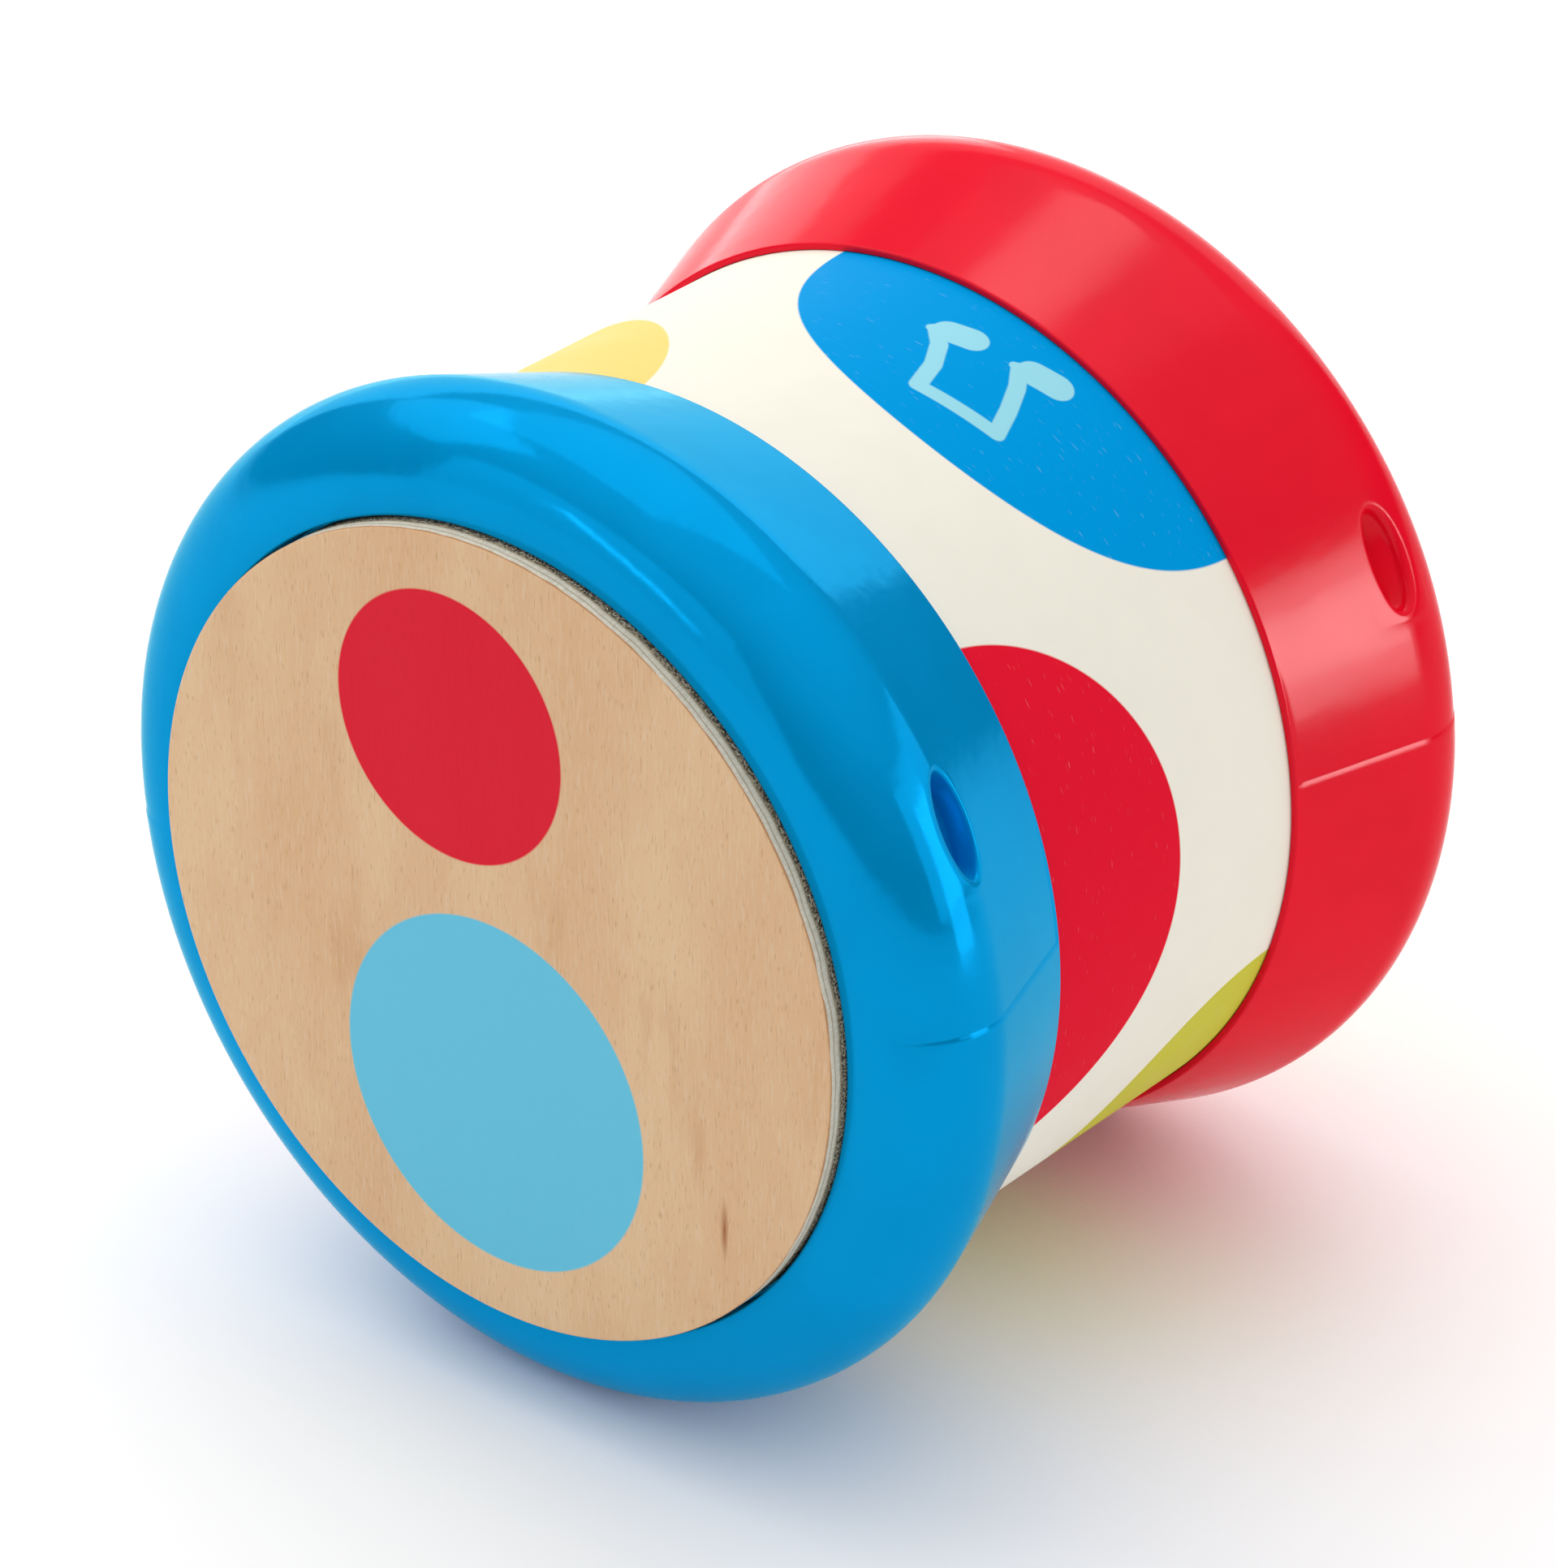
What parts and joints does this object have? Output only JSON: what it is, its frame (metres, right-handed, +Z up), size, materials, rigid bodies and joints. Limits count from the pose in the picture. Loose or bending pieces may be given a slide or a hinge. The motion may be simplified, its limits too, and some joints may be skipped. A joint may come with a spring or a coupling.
{
  "type": "toy drum",
  "caption": "Rolling toy drum on its side: cream plywood tube between rounded blue and red rims, dotted plywood heads, bells and balls inside that sound as it rolls.",
  "frame": {"origin": "on the floor under the middle of the drum, as it lies on its two rims", "axes": "+Z up, +Y along the drum's axis towards the red back head, so the blue front head faces -Y"},
  "size_m": [0.1358, 0.1192, 0.1358],
  "materials": {
    "painted_plywood": "satin cream paint with coloured dots",
    "blue_abs": "gloss moulded",
    "red_abs": "gloss moulded",
    "plywood": "clear satin lacquer, painted dots",
    "foam": "matt closed-cell foam",
    "zinc_steel": "zinc plated",
    "white_plastic": "matt extruded tube",
    "brass": "pressed, polished",
    "beech": "turned, unpainted"
  },
  "bodies": {
    "drum": {"drum_shell": "painted_plywood", "front_rim": "blue_abs", "back_rim": "red_abs", "front_head": "plywood", "back_head": "plywood", "front_head_cushion": "foam", "back_head_cushion": "foam", "front_head_screw_1": "zinc_steel", "front_head_screw_2": "zinc_steel", "front_head_screw_3": "zinc_steel", "front_head_screw_4": "zinc_steel", "back_head_screw_1": "zinc_steel", "back_head_screw_2": "zinc_steel", "back_head_screw_3": "zinc_steel", "back_head_screw_4": "zinc_steel", "bell_rod": "zinc_steel", "front_bell_spacer": "white_plastic", "middle_bell_spacer": "white_plastic", "back_bell_spacer": "white_plastic"},
    "front_bell": {"front_bell": "brass"},
    "back_bell": {"back_bell": "brass"},
    "front_pellet": {"front_bell_pellet": "zinc_steel"},
    "back_pellet": {"back_bell_pellet": "zinc_steel"},
    "front_ball": {"front_rattle_ball": "beech"},
    "middle_ball": {"middle_rattle_ball": "beech"},
    "back_ball": {"back_rattle_ball": "beech"}
  },
  "joints": [
    {"name": "front_bell_swing", "type": "hinge", "parent": "drum", "child": "front_bell", "pos_m": [0, -0.0173, 0.1031], "axis": [0, 1, 0], "continuous": true},
    {"name": "back_bell_swing", "type": "hinge", "parent": "drum", "child": "back_bell", "pos_m": [0, 0.0173, 0.1031], "axis": [0, 1, 0], "continuous": true},
    {"name": "front_pellet_roll", "type": "hinge", "parent": "front_bell", "child": "front_pellet", "pos_m": [0, -0.0173, 0.09195], "axis": [0, 1, 0], "continuous": true},
    {"name": "back_pellet_roll", "type": "hinge", "parent": "back_bell", "child": "back_pellet", "pos_m": [0, 0.0173, 0.09195], "axis": [0, 1, 0], "continuous": true},
    {"name": "front_ball_roll", "type": "hinge", "parent": "drum", "child": "front_ball", "pos_m": [0, -0.0346, 0.0679], "axis": [0, 1, 0], "continuous": true},
    {"name": "middle_ball_roll", "type": "hinge", "parent": "drum", "child": "middle_ball", "pos_m": [0, 0, 0.0679], "axis": [0, 1, 0], "continuous": true},
    {"name": "back_ball_roll", "type": "hinge", "parent": "drum", "child": "back_ball", "pos_m": [0, 0.0346, 0.0679], "axis": [0, 1, 0], "continuous": true}
  ]
}
